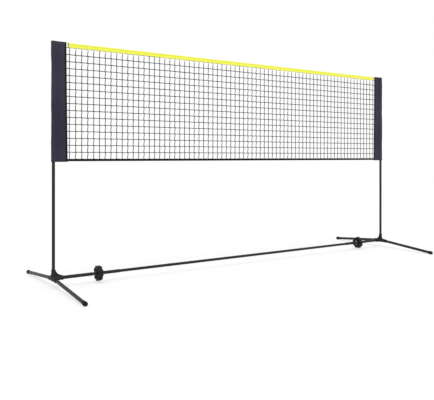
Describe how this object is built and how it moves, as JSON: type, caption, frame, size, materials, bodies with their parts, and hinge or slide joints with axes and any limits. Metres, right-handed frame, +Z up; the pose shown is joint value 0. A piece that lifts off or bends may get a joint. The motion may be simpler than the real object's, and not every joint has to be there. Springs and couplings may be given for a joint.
{
  "type": "volleyball net on poles",
  "caption": "Free-standing net on two telescopic poles with sloping feet, a base bar with hand nuts and fabric sleeves at both ends",
  "frame": {"origin": "on the floor, half way between the posts and half way between the front and back feet", "axes": "X along the net to the right, Y from front to back, Z up"},
  "size_m": [3.088, 1.0934, 1.55],
  "materials": {
    "hub_plastic": "fine moulded grain",
    "tube_paint": "dark grey satin powder coat",
    "post_paint": "satin powder coat",
    "foot_rubber": "dull moulded rubber",
    "nut_plastic": "moulded, finely grained",
    "screw_plastic": "moulded thread",
    "washer_steel": "zinc plated",
    "clip_steel": "spring steel",
    "sleeve_cloth": "dark navy grey coated woven cloth",
    "band_cloth": "bright yellow woven tape",
    "head_rope": "braided cord",
    "net_twine": "knotted twine",
    "hem_cloth": "black woven tape",
    "foot_rope": "braided cord"
  },
  "bodies": {
    "base": {"left_hub": "hub_plastic", "left_front_foot": "tube_paint", "left_back_foot": "tube_paint", "left_front_foot_cap": "foot_rubber", "left_back_foot_cap": "foot_rubber", "left_bar_end_tube": "tube_paint", "left_tension_screw": "screw_plastic", "left_bar_joint_tube": "tube_paint", "left_bar_centre_tube": "tube_paint", "left_lower_post": "tube_paint", "right_hub": "hub_plastic", "right_front_foot": "tube_paint", "right_back_foot": "tube_paint", "right_front_foot_cap": "foot_rubber", "right_back_foot_cap": "foot_rubber", "right_bar_end_tube": "tube_paint", "right_tension_screw": "screw_plastic", "right_bar_joint_tube": "tube_paint", "right_bar_centre_tube": "tube_paint", "right_lower_post": "tube_paint", "bar_centre_spigot": "washer_steel"},
    "raised_net": {"left_upper_post": "post_paint", "left_post_cap": "screw_plastic", "left_button_clip": "clip_steel", "left_sleeve": "sleeve_cloth", "left_band_lashing": "net_twine", "right_upper_post": "post_paint", "right_post_cap": "screw_plastic", "right_button_clip": "clip_steel", "right_sleeve": "sleeve_cloth", "right_band_lashing": "net_twine", "top_band": "band_cloth", "head_cord": "head_rope", "net_mesh": "net_twine", "bottom_hem": "hem_cloth", "foot_cord": "foot_rope"},
    "left_washer": {"left_thrust_washer": "washer_steel"},
    "left_nut": {"left_tension_nut": "nut_plastic"},
    "left_button": {"left_snap_button": "clip_steel"},
    "right_washer": {"right_thrust_washer": "washer_steel"},
    "right_nut": {"right_tension_nut": "nut_plastic"},
    "right_button": {"right_snap_button": "clip_steel"}
  },
  "joints": [
    {"name": "net_height", "type": "slide", "parent": "base", "child": "raised_net", "axis": [0, 0, 1], "range_m": [-0.58, 0]},
    {"name": "left_nut_travel", "type": "slide", "parent": "base", "child": "left_washer", "axis": [-1, 0, 0], "range_m": [0, 0.018]},
    {"name": "left_nut_turn", "type": "hinge", "parent": "left_washer", "child": "left_nut", "pos_m": [-1.225, 0, 0.06], "axis": [-1, 0, 0], "range_deg": [0, 1080]},
    {"name": "left_button_press", "type": "slide", "parent": "raised_net", "child": "left_button", "axis": [0, -1, 0], "range_m": [0, 0.004], "stiffness_N_per_m": 2000, "springref_m": -0.001, "deforming": ["left_button_clip"]},
    {"name": "right_nut_travel", "type": "slide", "parent": "base", "child": "right_washer", "axis": [1, 0, 0], "range_m": [0, 0.018]},
    {"name": "right_nut_turn", "type": "hinge", "parent": "right_washer", "child": "right_nut", "pos_m": [1.225, 0, 0.06], "axis": [1, 0, 0], "range_deg": [0, 1080]},
    {"name": "right_button_press", "type": "slide", "parent": "raised_net", "child": "right_button", "axis": [0, -1, 0], "range_m": [0, 0.004], "stiffness_N_per_m": 2000, "springref_m": -0.001, "deforming": ["right_button_clip"]}
  ],
  "couplings": [
    {"joint": "left_nut_travel", "follows": "left_nut_turn", "m_per_rad": 0.00095493},
    {"joint": "right_nut_travel", "follows": "right_nut_turn", "m_per_rad": 0.00095493}
  ]
}
